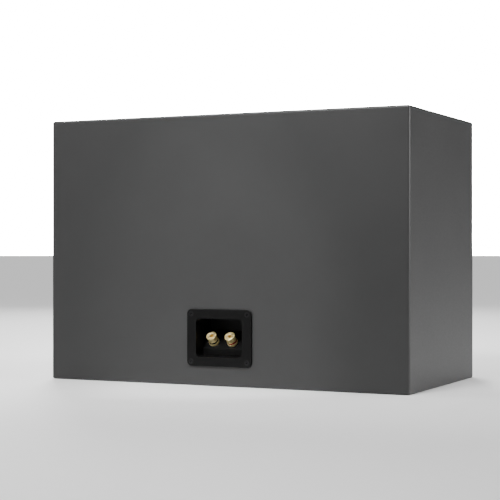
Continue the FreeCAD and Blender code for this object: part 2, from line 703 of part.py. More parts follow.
def make_cup(studs, screw_holes):
    """Moulded cup with its flange, and the gasket in the panel's rebate."""
    flange = rounded_block(CUP_W, CUP_H, CUP_ROUND, Y_BACK, Y_FLANGE, CUP_Z)
    rim = [e for e in flange.Edges if e.BoundBox.YMin > Y_FLANGE - 0.01]
    flange = flange.makeFillet(0.6, rim)
    cup = joined([flange, cup_block(CUP_WALL)]).cut([cup_block(0)] + screw_holes)
    filled = [stud.fuse(on_post(Part.makeCylinder(STUD_R, STUD_TAIL, V(0, 0, -STUD_TAIL)), x))
              for stud, x in zip(studs, POSTS.values())]
    keep("terminal_cup", cup.cut(filled))
    gasket = rounded_block(CUP_W - 2 * CUP_GASKET_MARGIN, CUP_H - 2 * CUP_GASKET_MARGIN, CUP_ROUND,
                           Y_BACK - CUP_GASKET_T, Y_BACK, CUP_Z)
    margin = 2 * (CUP_WALL + CUP_FIT)
    hole = rounded_block(CUP_OPEN_W + margin, CUP_OPEN_H + margin, CUP_OPEN_ROUND + CUP_WALL,
                         Y_BACK - CUP_GASKET_T, Y_BACK, CUP_Z)
    keep("cup_gasket", gasket.cut([hole] + screw_holes))


# Crossover and wires

def on_board(dx, dz):
    """Point on the front face of the crossover board, from its middle."""
    return V(BOARD_X + dx, BOARD_Y, BOARD_Z + dz)


def along_y(point, radius, length):
    """Cylinder from a point along +Y, or along -Y for a negative length."""
    return Part.makeCylinder(radius, abs(length), point, V(0, math.copysign(1, length), 0))


def make_crossover():
    """Board on four standoffs, with two coils, two capacitors and two resistors on it."""
    x = BOARD_W / 2 - STANDOFF_INSET
    z = BOARD_H / 2 - STANDOFF_INSET
    places = [on_board(sx * x, sz * z) for sx in (-1, 1) for sz in (-1, 1)]
    reach = BOARD_T + STANDOFF_L + BOARD_SCREW_REACH
    screws = [joined([along_y(p, BOARD_SCREW_R, reach), along_y(p, STANDOFF_R, -BOARD_SCREW_HEAD_T)])
              for p in places]
    board = block(BOARD_X - BOARD_W / 2, BOARD_X + BOARD_W / 2, BOARD_Y, BOARD_Y + BOARD_T,
                  BOARD_Z - BOARD_H / 2, BOARD_Z + BOARD_H / 2)
    standoffs = []
    for p in places:
        foot = p + V(0, BOARD_T, 0)
        hole = along_y(foot, BOARD_SCREW_R, STANDOFF_L)
        standoffs.append(along_y(foot, STANDOFF_R, STANDOFF_L).cut(hole))
    keep("crossover_board", board.cut(screws))
    keep("board_standoffs", *standoffs)
    keep("board_screws", *screws)
    nodes["back_panel"] = nodes["back_panel"].cut(screws)

    coil_z = BOARD_H / 2 - INDUCTOR_R - 4
    coils = []
    for dx in (-BOARD_W / 2 + INDUCTOR_R + 4, -BOARD_W / 2 + 3 * INDUCTOR_R + 8):
        coil = along_y(on_board(dx, coil_z), INDUCTOR_R, -INDUCTOR_T)
        coils.append(coil.cut(along_y(on_board(dx, coil_z), INDUCTOR_HOLE_R, -INDUCTOR_T)))
    keep("inductors", *coils)
    cans = []
    for k in range(2):
        start = on_board(-BOARD_W / 2 + 13 + k * (CAPACITOR_L + 6), -BOARD_H / 2 + CAPACITOR_R + 5)
        cans.append(Part.makeCylinder(CAPACITOR_R, CAPACITOR_L, start - V(0, CAPACITOR_R, 0), V(1, 0, 0)))
    keep("capacitors", *cans)
    bricks = []
    for k in range(2):
        low = on_board(BOARD_W / 2 - 22 + k * (RESISTOR_W + 2), 0) - V(0, RESISTOR_W, RESISTOR_L / 2)
        bricks.append(Part.makeBox(RESISTOR_W, RESISTOR_W, RESISTOR_L, low))
    keep("resistors", *bricks)


def make_tags(tweeter_plate_end):
    """Fibre strip with two tabs on the side of each driver."""
    strips = []
    ends = {}
    half = TAG_STRIP_W / 2
    y0 = Y_FRONT + BASKET_BACK_S - TAG_STRIP_L - 2
    y1 = y0 + TAG_STRIP_L
    for side, centre in WOOFERS.items():
        sign = math.copysign(1, -centre[0])
        near = centre[0] + sign * (BASKET_NECK_R - 3)
        face = centre[0] + sign * (BASKET_NECK_R + TAG_STRIP_T)
        tip = face + sign * TAB_L
        strip = block(min(near, face), max(near, face), y0, y1, centre[1] - half, centre[1] + half)
        tabs = []
        for k in (-1, 1):
            z = centre[1] + k * TAB_SPACING / 2
            tabs.append(block(min(face, tip), max(face, tip), y0 + 3, y0 + 3 + TAB_W,
                              z - TAB_T / 2, z + TAB_T / 2))
            ends[side, k] = V(tip, y0 + 3 + TAB_W / 2, z)
        strip = joined([strip] + tabs)
        strips.append(strip.cut(bar(centre, BASKET_NECK_R, 0, BASKET_BACK_S)))
    low = TWEETER_Z - TWEETER_MAGNET_R - TAG_STRIP_T
    start = Y_FRONT + tweeter_plate_end + 2
    end = start + TAG_STRIP_L
    strip = block(-half, half, start, end, low, low + 5)
    tabs = []
    for k in (-1, 1):
        x = k * TAB_SPACING / 2
        tabs.append(block(x - TAB_W / 2, x + TAB_W / 2, end, end + TAB_L, low, low + TAB_T))
        ends["tweeter", k] = V(x, end + TAB_L, low + TAB_T / 2)
    strip = joined([strip] + tabs)
    strips.append(strip.cut(bar(TWEETER, TWEETER_MAGNET_R, 0, tweeter_plate_end + TWEETER_MAGNET_T)))
    keep("driver_tags", *strips)
    return ends


def tube(points, radius):
    """Round wire along straight runs joined by tangent arcs, as large as the runs allow."""
    edges = []
    here = points[0]
    radii = []
    for before, corner, after in zip(points, points[1:], points[2:]):
        to_before = before - corner
        to_after = after - corner
        half = (math.pi - to_before.getAngle(to_after)) / 2
        cut = 0.45 * min(to_before.Length, to_after.Length)
        arc_r = cut / math.tan(half)
        radii.append(arc_r)
        start = corner + to_before.normalize() * cut
        end = corner + to_after.normalize() * cut
        inwards = (to_before + to_after).normalize()
        middle = corner + inwards * (arc_r / math.cos(half) - arc_r)
        edges.append(Part.LineSegment(here, start).toShape())
        edges.append(Part.Arc(start, middle, end).toShape())
        here = end
    edges.append(Part.LineSegment(here, points[-1]).toShape())
    path = Part.Wire(edges)
    circle = Part.Circle(points[0], points[1] - points[0], radius)
    section = Part.Wire([circle.toShape()])
    solid = path.makePipeShell([section], True, False)
    full = math.pi * radius ** 2 * path.Length
    print("wire: length %.0f, tightest arc %.1f, volume ratio %.4f"
          % (path.Length, min(radii), solid.Volume / full))
    return solid


def make_wires(ends):
    """Red and black wires: posts to board, and board to each driver. The black route is the red
    one a little lower, and both lie behind the brace where they cross it."""
    solder_x = BOARD_W / 2 - 5
    away = V(0, -16, 0)
    inwards = V(0, -1, -1) / math.sqrt(2)
    up_ramp = V(0, -1, 1) / math.sqrt(2)
    behind = CAVITY[1][0] + BRACE_BEHIND_BAFFLE + BRACE_DEPTH + 8
    for colour, k, slot in (("red", 1, 0), ("black", -1, 1)):
        drop = V(0, 0, -slot * WIRE_SPACING)
        tweeter_pad, right_pad, left_pad = [
            on_board(solder_x, 20 - 2 * WIRE_SPACING * row) + drop for row in range(3)]
        input_pad = on_board(solder_x, -10 - WIRE_SPACING) - drop
        forward = V(0, -3 * slot, 0)
        left, right, high = ends["left", k], ends["right", k], ends["tweeter", k]
        to_left = [left_pad, left_pad + away, V(-42, 30, 132) + drop, V(-30, -2, 114) + drop,
                   left + V(20, 20, 3), left + V(14, 0, 0), left]
        to_right = [right_pad, right_pad + away, V(-24, behind, 160) + drop,
                    V(12, behind - 1, 150) + drop, V(38, 30, 132) + drop, V(40, -2, 114) + drop,
                    right + V(-20, 20, 3), right + V(-14, 0, 0), right]
        to_tweeter = [tweeter_pad, tweeter_pad + away, V(-38, 30, 170) + drop,
                      V(-24, -2, 163) + drop, V(-16, -26, 157) + drop, high + V(0, 14, 0), high]
        tail = post_base(POSTS[colour]) + up_ramp * TAG_TAIL + inwards * (CUP_WALL + TAG_T)
        low = tail + inwards * 14
        across = slot * 12
        from_post = [tail, low, low + V(-4, -11.7, 3.5), V(-16 + 1.5 * across, 49, 56),
                     V(-26 + across, 50, 84), V(-42 + 0.5 * across, 53, 112) + forward,
                     input_pad + away + forward, input_pad]
        routes = (to_left, to_right, to_tweeter, from_post)
        keep("wires_" + colour, *[tube(route, WIRE_R) for route in routes])


def main():
    """Make every node and write its STEP file."""
    screws = driver_screws()
    screw_holes = [hole_of(s, SCREW_HEAD_R, SCREW_R, SCREW_L) for s in screws]
    keep("driver_screws", *screws)
    cup_screw_holes = make_cup_screws()
    make_cabinet(screw_holes, cup_screw_holes)
    make_wadding()
    make_grille()
    for side, centre in WOOFERS.items():
        make_woofer(side, centre, screw_holes)
    plate_end = make_tweeter(screw_holes)
    make_gaskets(screw_holes)
    make_cup(make_posts(), cup_screw_holes)
    make_crossover()
    make_wires(make_tags(plate_end))

    os.makedirs("parts", exist_ok=True)
    for name, shape in nodes.items():
        shape.exportStep("parts/" + name + ".step")
        print("%-24s %d solid(s), %.0f mm3, valid %s"
              % (name, len(shape.Solids), shape.Volume, shape.isValid()))


main()
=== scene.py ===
"""Wide bookshelf loudspeaker: finishes, driver diaphragms, grille cloth, wadding and turned posts,
on a pale floor in soft light. Lengths are in metres; MM turns millimetres into them."""
import json
import math

import bmesh
import bpy
import numpy as np
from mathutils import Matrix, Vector


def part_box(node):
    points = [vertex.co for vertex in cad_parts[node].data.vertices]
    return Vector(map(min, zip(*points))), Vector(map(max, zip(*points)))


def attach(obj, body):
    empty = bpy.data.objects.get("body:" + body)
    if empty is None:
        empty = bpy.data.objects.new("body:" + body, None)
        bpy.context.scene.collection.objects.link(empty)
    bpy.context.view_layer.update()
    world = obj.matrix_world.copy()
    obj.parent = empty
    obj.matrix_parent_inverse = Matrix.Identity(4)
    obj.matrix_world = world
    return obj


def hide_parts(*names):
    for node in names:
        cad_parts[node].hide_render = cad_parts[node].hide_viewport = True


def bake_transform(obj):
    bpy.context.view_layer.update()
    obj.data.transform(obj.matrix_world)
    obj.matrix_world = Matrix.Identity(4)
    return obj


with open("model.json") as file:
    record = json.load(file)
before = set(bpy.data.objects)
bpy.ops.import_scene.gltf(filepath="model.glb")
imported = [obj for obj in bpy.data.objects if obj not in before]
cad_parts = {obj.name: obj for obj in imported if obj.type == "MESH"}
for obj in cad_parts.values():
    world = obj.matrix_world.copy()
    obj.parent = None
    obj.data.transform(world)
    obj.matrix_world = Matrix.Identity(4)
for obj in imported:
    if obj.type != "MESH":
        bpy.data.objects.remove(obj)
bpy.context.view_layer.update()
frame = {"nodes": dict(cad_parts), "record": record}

MM = 0.001
nodes = frame["nodes"]
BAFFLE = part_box("front_baffle")[0].y
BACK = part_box("back_panel")[1].y
BOX_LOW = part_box("bottom_panel")[0]
BOX_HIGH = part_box("top_panel")[1]


# Nodes and colours

def linear(hex_colour):
    """Linear RGBA of an sRGB hex colour."""
    share = [int(hex_colour[k:k + 2], 16) / 255 for k in (1, 3, 5)]
    return [s / 12.92 if s <= 0.04045 else ((s + 0.055) / 1.055) ** 2.4 for s in share] + [1.0]


def add(tree, kind, inputs=(), **settings):
    """Add a shader node. inputs maps a socket's name or number to a value or to another socket."""
    node = tree.nodes.new("ShaderNode" + kind)
    for name, value in settings.items():
        setattr(node, name, value)
    for key, value in dict(inputs).items():
        if isinstance(value, bpy.types.NodeSocket):
            tree.links.new(value, node.inputs[key])
        else:
            node.inputs[key].default_value = value
    return node


def finish_of(name, colour, roughness, **shader):
    """New material with one Principled shader. Returns the material, its tree, the shader and
    the object coordinates in millimetres."""
    material = bpy.data.materials.new(name)
    material.use_nodes = True
    tree = material.node_tree
    tree.nodes.clear()
    settings = {"Base Color": linear(colour), "Roughness": roughness}
    settings.update({key.replace("_", " "): value for key, value in shader.items()})
    shade = add(tree, "BsdfPrincipled", settings)
    add(tree, "OutputMaterial", {"Surface": shade.outputs[0]})
    where = add(tree, "TexCoord")
    scaled = add(tree, "Mapping", {"Vector": where.outputs["Object"], "Scale": (1 / MM,) * 3})
    return material, tree, shade, scaled.outputs[0]


def grain(tree, shade, at, size, depth, detail=3.0):
    """Moulded or sprayed grain: noise of one grain size in millimetres raises the surface by up
    to depth, and makes it a little rougher in the hollows."""
    noise = add(tree, "TexNoise", {"Vector": at, "Scale": 1 / size, "Detail": detail, "Roughness": 0.55})
    bump = add(tree, "Bump", {"Height": noise.outputs[0], "Strength": 1.0, "Distance": depth * MM})
    tree.links.new(bump.outputs[0], shade.inputs["Normal"])
    rough = shade.inputs["Roughness"].default_value
    spread = add(tree, "MapRange", {"Value": noise.outputs[0], "From Min": 0.3, "From Max": 0.7,
                                    "To Min": rough * 1.12, "To Max": rough * 0.9})
    tree.links.new(spread.outputs[0], shade.inputs["Roughness"])


def tint(tree, shade, at, low, high, size, detail=4.0):
    """Slow colour variation between two hex colours, over patches of one size in millimetres."""
    noise = add(tree, "TexNoise", {"Vector": at, "Scale": 1 / size, "Detail": detail})
    ramp = add(tree, "MapRange", {"Value": noise.outputs[0], "From Min": 0.35, "From Max": 0.65})
    mix = add(tree, "Mix", {0: ramp.outputs[0], 6: linear(low), 7: linear(high)}, data_type="RGBA")
    tree.links.new(mix.outputs[2], shade.inputs["Base Color"])


# Finishes

def vinyl_wrapped_mdf():
    """MDF wrapped in calendered PVC film: dark neutral grey, satin, with a fine leathery emboss
    that softens every reflection."""
    material, tree, shade, at = finish_of("vinyl_wrapped_mdf", "#232323", 0.48)
    tint(tree, shade, at, "#222222", "#252525", 60)
    grain(tree, shade, at, 0.7, 0.012)
    return material


def bare_mdf():
    """Sawn MDF: light brown with short fibres, matt."""
    material, tree, shade, at = finish_of("bare_mdf", "#8a6a4a", 0.85)
    tint(tree, shade, at, "#7c5e40", "#977654", 1.5, 6.0)
    grain(tree, shade, at, 0.8, 0.05)
    return material


def painted_mdf():
    """MDF sprayed matt black, with a fine spray grain."""
    material, tree, shade, at = finish_of("painted_mdf", "#141414", 0.7)
    grain(tree, shade, at, 0.5, 0.03)
    return material


def knitted_cloth():
    """Knitted polyester speaker cloth: black, a soft sheen, and columns of small loops. The real
    loops are 0.7 mm apart, and are drawn 1.1 mm apart across and 2.2 mm along to show."""
    material, tree, shade, _ = finish_of("knitted_cloth", "#101012", 0.9, Sheen_Weight=0.06,
                                         Sheen_Roughness=0.5)
    spacing = 1.1 * MM
    where = add(tree, "TexCoord")
    scaled = add(tree, "Mapping", {"Vector": where.outputs["UV"], "Scale": (math.pi / spacing,) * 3})
    parts = add(tree, "SeparateXYZ", {"Vector": scaled.outputs[0]})
    across = add(tree, "Math", {0: parts.outputs[0]}, operation="SINE")
    along = add(tree, "Math", {0: parts.outputs[1], 1: 0.5}, operation="MULTIPLY")
    up = add(tree, "Math", {0: along.outputs[0]}, operation="SINE")
    loops = add(tree, "Math", {0: across.outputs[0], 1: up.outputs[0]}, operation="MULTIPLY")
    height = add(tree, "Math", {0: loops.outputs[0]}, operation="ABSOLUTE")
    bump = add(tree, "Bump", {"Height": height.outputs[0], "Strength": 0.9, "Distance": 0.25 * MM})
    tree.links.new(bump.outputs[0], shade.inputs["Normal"])
    # Base colour darker where the loops sink: painted shade in the gaps between the loops
    mix = add(tree, "Mix", {0: height.outputs[0], 6: linear("#040405"), 7: linear("#141416")},
              data_type="RGBA")
    tree.links.new(mix.outputs[2], shade.inputs["Base Color"])
    return material


def moulded(name, colour, roughness, size, depth, **shader):
    """Injection-moulded plastic or rubber with a spark-eroded mould grain."""
    material, tree, shade, at = finish_of(name, colour, roughness, **shader)
    grain(tree, shade, at, size, depth)
    return material


def satin_abs():
    """ABS moulded in a lightly blasted tool: deep black, satin, with the faint ripple of a thin
    wall. It reads darker and smoother than the wrap around it."""
    material, tree, shade, at = finish_of("satin_abs", "#060606", 0.45, Specular_IOR_Level=0.12)
    grain(tree, shade, at, 9.0, 0.02, 1.0)
    return material


def powder_coated_steel():
    """Steel under black powder coat: a soft orange peel."""
    material, tree, shade, at = finish_of("powder_coated_steel", "#0e0e0f", 0.38)
    grain(tree, shade, at, 1.6, 0.03, 1.0)
    return material


def filled_polypropylene():
    """Mineral-filled polypropylene, pressed: charcoal with fine pale flecks."""
    material, tree, shade, at = finish_of("filled_polypropylene", "#1b1b1d", 0.4)
    tint(tree, shade, at, "#141416", "#262629", 0.9, 6.0)
    grain(tree, shade, at, 1.2, 0.015)
    return material


def gold_plated_brass():
    """Turned brass with a thin satin gold plate: pale warm gold, bright, with fine turning marks.
    The plate is slightly matt, so it also scatters a little light."""
    material, tree, shade, at = finish_of("gold_plated_brass", "#f7e3a4", 0.36, Metallic=0.72)
    noise = add(tree, "TexNoise", {"Vector": at, "Scale": 3.0, "Detail": 4.0})
    spread = add(tree, "MapRange", {"Value": noise.outputs[0], "To Min": 0.3, "To Max": 0.44})
    tree.links.new(spread.outputs[0], shade.inputs["Roughness"])
    return material


def zinc_plated_steel():
    """Pressed steel with bright zinc plate: grey, slightly cloudy."""
    material, tree, shade, at = finish_of("zinc_plated_steel", "#c4c6c8", 0.32, Metallic=1.0)
    tint(tree, shade, at, "#b4b7ba", "#d0d1d2", 6.0)
    grain(tree, shade, at, 2.0, 0.01)
    return material


def sintered_ferrite():
    """Sintered ferrite: dark grey, dry, with grinding grain."""
    material, tree, shade, at = finish_of("sintered_ferrite", "#2d2d30", 0.6)
    grain(tree, shade, at, 0.4, 0.03)
    return material


def enamelled_copper():
    """Enamelled copper wire wound in layers: turns 0.57 mm apart, under clear varnish. A wave
    of scale s repeats every 2 pi / (20 s)."""
    material, tree, shade, at = finish_of("enamelled_copper", "#c4703a", 0.28, Metallic=1.0,
                                          Coat_Weight=0.6, Coat_Roughness=0.15)
    turns = add(tree, "TexWave", {"Vector": at, "Scale": 1 / 1.8},
                bands_direction="Y")
    bump = add(tree, "Bump", {"Height": turns.outputs[1], "Strength": 1.0, "Distance": 0.2 * MM})
    tree.links.new(bump.outputs[0], shade.inputs["Normal"])
    return material


def woven(name, colour, threads, depth, roughness=0.8, **shader):
    """Plain woven cloth under a coating: threads cross at one spacing in millimetres."""
    material, tree, shade, at = finish_of(name, colour, roughness, **shader)
    parts = add(tree, "SeparateXYZ", {"Vector": at})
    waves = []
    for axis in (0, 2):
        angle = add(tree, "Math", {0: parts.outputs[axis], 1: math.pi / threads}, operation="MULTIPLY")
        waves.append(add(tree, "Math", {0: angle.outputs[0]}, operation="SINE"))
    cross = add(tree, "Math", {0: waves[0].outputs[0], 1: waves[1].outputs[0]}, operation="MULTIPLY")
    bump = add(tree, "Bump", {"Height": cross.outputs[0], "Strength": 0.8, "Distance": depth * MM})
    tree.links.new(bump.outputs[0], shade.inputs["Normal"])
    return material


def polyester_wadding():
    """Bonded polyester fibre: white, fluffy, with long soft fibres."""
    material, tree, shade, at = finish_of("polyester_wadding", "#e6e5e0", 0.95, Sheen_Weight=0.5)
    grain(tree, shade, at, 1.8, 0.8, 8.0)
    return material


def paint_cad_nodes():
    """Give every CAD node its finish."""
    wrap, brass, steel = vinyl_wrapped_mdf(), gold_plated_brass(), zinc_plated_steel()
    ferrite, coat, copper = sintered_ferrite(), powder_coated_steel(), enamelled_copper()
    cone, rubber = filled_polypropylene(), moulded("butyl_rubber", "#101010", 0.62, 0.6, 0.02)
    nylon = moulded("moulded_nylon", "#0f0f10", 0.45, 0.5, 0.01)
    foam = moulded("closed_cell_foam", "#161616", 0.9, 0.35, 0.08)
    face = moulded("moulded_abs", "#131313", 0.48, 0.35, 0.015)
    silk = woven("coated_silk", "#0d0d0e", 0.35, 0.02, 0.35)
    oxide = moulded("black_oxide_steel", "#121213", 0.35, 0.5, 0.01, Metallic=0.6)
    plain = {"centre_brace": bare_mdf(), "grille_frame": painted_mdf(), "grille_pegs": nylon,
             "grille_sockets": rubber, "driver_gaskets": foam, "cup_gasket": foam,
             "driver_screws": oxide, "cup_screws": oxide, "terminal_cup": satin_abs(),
             "driver_tags": moulded("fibre_strip", "#6e4526", 0.6, 0.5, 0.03),
             "post_ring_red": moulded("moulded_red_abs", "#7a0c10", 0.25, 2.0, 0.005),
             "post_ring_black": moulded("moulded_black_abs", "#060606", 0.25, 2.0, 0.005),
             "post_locknuts": steel, "post_tags": brass, "board_screws": steel,
             "crossover_board": woven("lacquered_glass_fibre", "#1f5a33", 0.6, 0.02, 0.3),
             "board_standoffs": moulded("natural_nylon", "#d8d6cc", 0.4, 1.0, 0.01),
             "capacitors": moulded("polyester_film", "#c79a1e", 0.22, 4.0, 0.02),
             "resistors": moulded("fired_cement", "#d9d6cb", 0.85, 0.3, 0.05),
             "wires_red": moulded("red_pvc", "#9c1216", 0.4, 1.0, 0.01),
             "wires_black": moulded("black_pvc", "#0d0d0d", 0.4, 1.0, 0.01),
             "inductors": copper, "tweeter_faceplate": face, "tweeter_dome": silk,
             "tweeter_surround": silk, "tweeter_magnet": ferrite, "tweeter_top_plate": steel,
             "tweeter_back_plate": steel, "tweeter_voice_coil": copper}
    tails = {"_panel": wrap, "_baffle": wrap, "_basket": coat, "_cone": cone, "_dust_cap": cone,
             "_surround": rubber, "_spider": woven("stiffened_cotton", "#b8944a", 0.8, 0.1),
             "_voice_coil": copper, "_top_plate": steel, "_magnet": ferrite, "_yoke": steel,
             "grille_cloth": knitted_cloth(), "wadding": polyester_wadding()}
    for name, part in nodes.items():
        finish = plain.get(name)
        if finish is None:
            finish = next((tails[tail] for tail in tails if name.endswith(tail)), brass)
        part.data.materials.clear()
        part.data.materials.append(finish)


# Surfaces

def surface(name, points, material, body=None, closed=True, crease=35.0, uv=None):
    """Mesh from a grid of points, an array of rows by columns by 3. Each row is a closed ring,
    and a closed surface also joins its last row to its first. Points that coincide are merged."""
    rows, columns = points.shape[:2]
    number = np.arange(rows * columns).reshape(rows, columns)
    down = number if closed else number[:-1]
    below = np.roll(number, -1, axis=0) if closed else number[1:]
    quads = np.stack([down, below, np.roll(below, -1, axis=1), np.roll(down, -1, axis=1)], axis=-1)
    mesh = bpy.data.meshes.new(name)
    mesh.from_pydata(points.reshape(-1, 3), [], quads.reshape(-1, 4))
    if uv is not None:
        layer = mesh.uv_layers.new(name="cloth")
        corner = np.zeros(len(mesh.loops), int)
        mesh.loops.foreach_get("vertex_index", corner)
        layer.data.foreach_set("uv", uv.reshape(-1, 2)[corner].ravel())
    tidy(mesh)
    mesh.polygons.foreach_set("use_smooth", np.ones(len(mesh.polygons), bool))
    mesh.set_sharp_from_angle(angle=math.radians(crease))
    mesh.materials.append(material)
    piece = bpy.data.objects.new(name, mesh)
    bpy.context.scene.collection.objects.link(piece)
    if body:
        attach(piece, body)
    return piece


def tidy(mesh):
    """Merge coincident points and turn every face outwards."""
    work = bmesh.new()
    work.from_mesh(mesh)
    bmesh.ops.remove_doubles(work, verts=work.verts, dist=1e-6)
    bmesh.ops.dissolve_degenerate(work, edges=work.edges, dist=1e-7)
    bmesh.ops.recalc_face_normals(work, faces=work.faces)
    work.to_mesh(mesh)
    work.free()


def arc(centre, radius, start, end, count):
    """Points (x, y) on a circle from one angle to another, in degrees."""
    angle = np.radians(np.linspace(start, end, count))
    return np.stack([centre[0] + radius * np.cos(angle), centre[1] + radius * np.sin(angle)], axis=-1)


def line(start, end, count):
    """Points (x, y) on a straight line."""
    share = np.linspace(0, 1, count)[:, None]
    return (1 - share) * np.array(start) + share * np.array(end)


def round_driver(profile, centre, steps=160):
    """Profile of (radius, depth behind the baffle) in millimetres, carried round a driver's axis:
    x = cx + r cos a, y = baffle + depth, z = cz + r sin a."""
    angle = np.linspace(0, 2 * math.pi, steps, endpoint=False)
    radius, depth = profile[:, 0, None] * MM, profile[:, 1, None] * MM
    flat = np.ones_like(angle)
    return np.stack([centre[0] + radius * np.cos(angle), BAFFLE + depth * flat,
                     centre[1] + radius * np.sin(angle)], axis=-1)


def radial_blend(piece):
    """Bake a ring's placement into its mesh and read its points out; no share is set, so the ring does not
    bend with its diaphragm."""
    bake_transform(piece)
    co = np.zeros(len(piece.data.vertices) * 3)
    piece.data.vertices.foreach_get("co", co)
    co = co.reshape(-1, 3)


def middle_of(node):
    """Centre (x, z) of a node."""
    low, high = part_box(node)
    return (low.x + high.x) / 2, (low.z + high.z) / 2


# Drivers

CONE_R, ROLL_R, LIP_R = 50.0, 5.0, 65.0
LANDING, SKIN = 2.5, 0.8
CONE_SLOPE = 21.0 / 37.2


def woofer_surround(side, material):
    """Rubber half-roll: a flat lip on the basket, half a circle of 5 mm radius standing proud, and
    a sloping lip on the cone, all 0.8 mm thick."""
    node = "woofer_%s_surround" % side
    centre = middle_of(node)
    middle, top = CONE_R + ROLL_R, LANDING - SKIN
    lip = CONE_R - 4.0
    lip_depth = 3.0 + (CONE_R - lip) * CONE_SLOPE
    profile = np.concatenate([
        line((LIP_R, LANDING), (LIP_R, top), 3), line((64.0, top), (60.6, top), 4),
        arc((middle, top), ROLL_R, 0, -180, 25), line((48.8, top + 0.9), (lip, lip_depth - SKIN), 4),
        line((lip, lip_depth), (49.4, 3.4), 4), line((50.0, 3.0), (50.6, 2.7), 2),
        arc((middle, LANDING), ROLL_R - SKIN, 180, 360, 25), line((60.6, LANDING), (64.0, LANDING), 4)])
    piece = surface(node + "_roll", round_driver(profile, centre), material, None)
    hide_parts(node)
    radial_blend(piece)


def woofer_spider(side, material):
    """Corrugated disc: depth follows a cosine of radius with five waves, 0.8 mm thick."""
    node = "woofer_%s_spider" % side
    centre = middle_of(node)
    radius = np.linspace(46.6, 12.8, 90)
    share = np.clip((radius - 15.0) / (41.0 - 15.0), 0, 1)
    wave = 0.9 * np.sin(math.pi * share) ** 0.25 * (1 - np.cos(2 * math.pi * 5 * share)) / 2
    top = np.stack([radius, 27.2 - wave], axis=-1)
    under = np.stack([radius[::-1], 28.0 - wave[::-1]], axis=-1)
    profile = np.concatenate([top, under])
    piece = surface(node + "_disc", round_driver(profile, centre, 120), material, None)
    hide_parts(node)
    radial_blend(piece)


def woofer_cone(side, material):
    """Pressed cone: straight sides with two shallow stiffening beads, and a rolled rim."""
    node = "woofer_%s_cone" % side
    radius = np.linspace(49.8, 12.9, 120)
    depth = 3.1 + (49.8 - radius) * CONE_SLOPE
    beads = sum(np.exp(-((radius - at) / 0.9) ** 2) for at in (38.0, 28.0))
    front = np.stack([radius, depth - 0.5 * beads], axis=-1)
    back = np.stack([radius[::-1] + 0.1, depth[::-1] + SKIN - 0.5 * beads[::-1]], axis=-1)
    neck = np.array([(12.85, 27.0), (13.6, 27.0), (13.6, 25.2)])
    profile = np.concatenate([front, neck, back])
    piece = surface(node + "_pressing", round_driver(profile, middle_of(node)), material,
                    "woofer_%s_moving" % side)
    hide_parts(node)


def woofer_dust_cap(side, material):
    """Dust cap: part of a sphere, 17.45 mm in radius at its rim and 7.5 mm high, 0.6 mm thick."""
    node = "woofer_%s_dust_cap" % side
    rim, rise, skin = 17.45, 7.5, 0.6
    sphere = (rim ** 2 + rise ** 2) / (2 * rise)
    deep = 3.0 + (CONE_R - rim) * CONE_SLOPE
    apex = deep - rise
    half = math.degrees(math.asin(rim / sphere))
    outer = arc((0, apex + sphere), sphere, -90, -90 + half, 28)
    inner = arc((0, apex + sphere), sphere - skin, -90 + half, -90, 28)
    outer[0, 0] = inner[-1, 0] = 0.0
    profile = np.concatenate([outer, inner])
    piece = surface(node + "_shell", round_driver(profile, middle_of(node), 96), material,
                    "woofer_%s_moving" % side)
    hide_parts(node)


def tweeter_roll(material):
    """Silk roll round the dome: half a circle of 2.1 mm radius and a flat lip, 0.5 mm thick."""
    node = "tweeter_surround"
    centre = middle_of(node)
    dome, roll, seat, skin = 12.6, 2.1, 5.8, 0.5
    middle, lip = dome + roll, dome + 2 * roll + 2.6
    profile = np.concatenate([
        line((lip, seat), (lip, seat - skin), 2), line((lip - 0.8, seat - skin), (17.2, seat - skin), 3),
        arc((middle, seat - skin), roll, 0, -180, 21), line((dome, seat), (dome + skin - 0.1, seat), 2),
        arc((middle, seat), roll - skin, 180, 360, 21), line((17.0, seat), (lip - 0.8, seat), 3)])
    piece = surface("tweeter_surround_roll", round_driver(profile, centre, 128), material, None)
    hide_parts(node)
    radial_blend(piece)


# Grille and wadding

